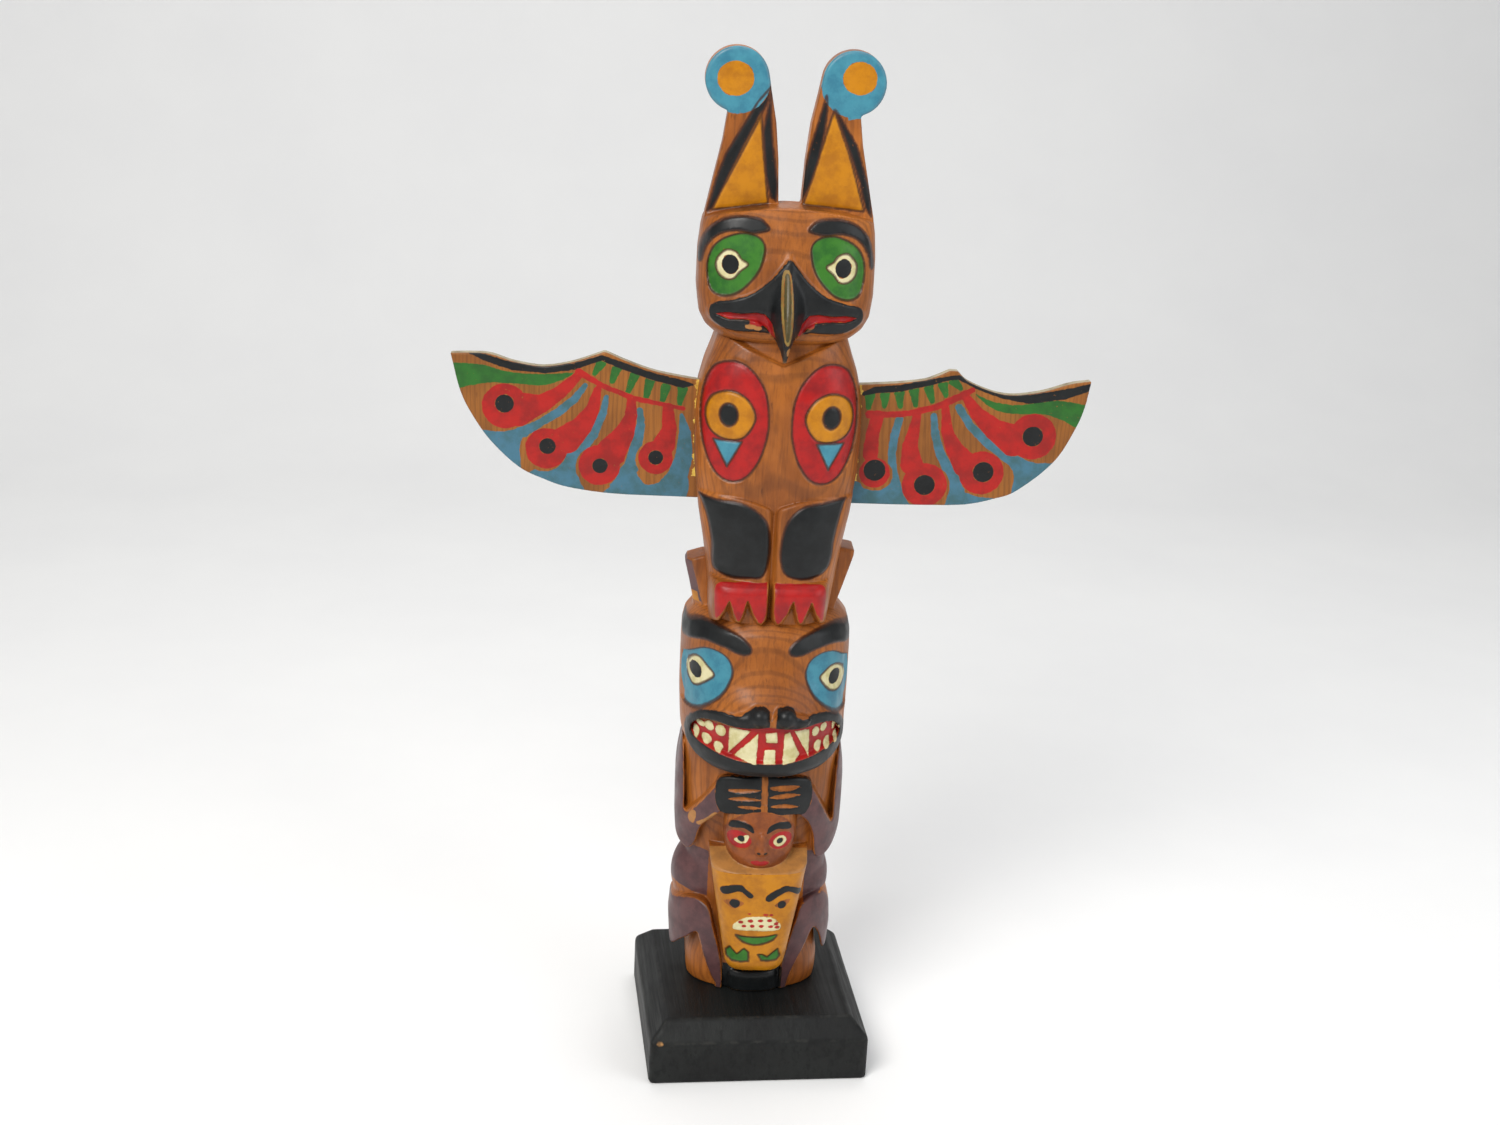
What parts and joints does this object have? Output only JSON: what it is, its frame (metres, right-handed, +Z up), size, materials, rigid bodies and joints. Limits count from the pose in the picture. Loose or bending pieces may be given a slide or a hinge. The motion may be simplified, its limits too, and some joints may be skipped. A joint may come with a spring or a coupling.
{
  "type": "totem pole",
  "caption": "Carved and painted wooden model totem pole with a winged bird over a bear and a small human figure, standing on a square bevelled base.",
  "frame": {"origin": "centre of the base's underside", "axes": "+Z up the pole, -Y the way the figures face, +X to the right of a person who looks at their faces"},
  "size_m": [0.2431, 0.088, 0.401],
  "materials": {
    "base_paint": "charcoal black paint, satin, worn at the edges",
    "carved_wood": "stained and varnished cedar with painted figures",
    "wing_paint": "painted feathers on stained wood, satin"
  },
  "bodies": {
    "root": {"base": "base_paint", "pole": "carved_wood", "left_wing": "wing_paint", "right_wing": "wing_paint"}
  },
  "joints": []
}
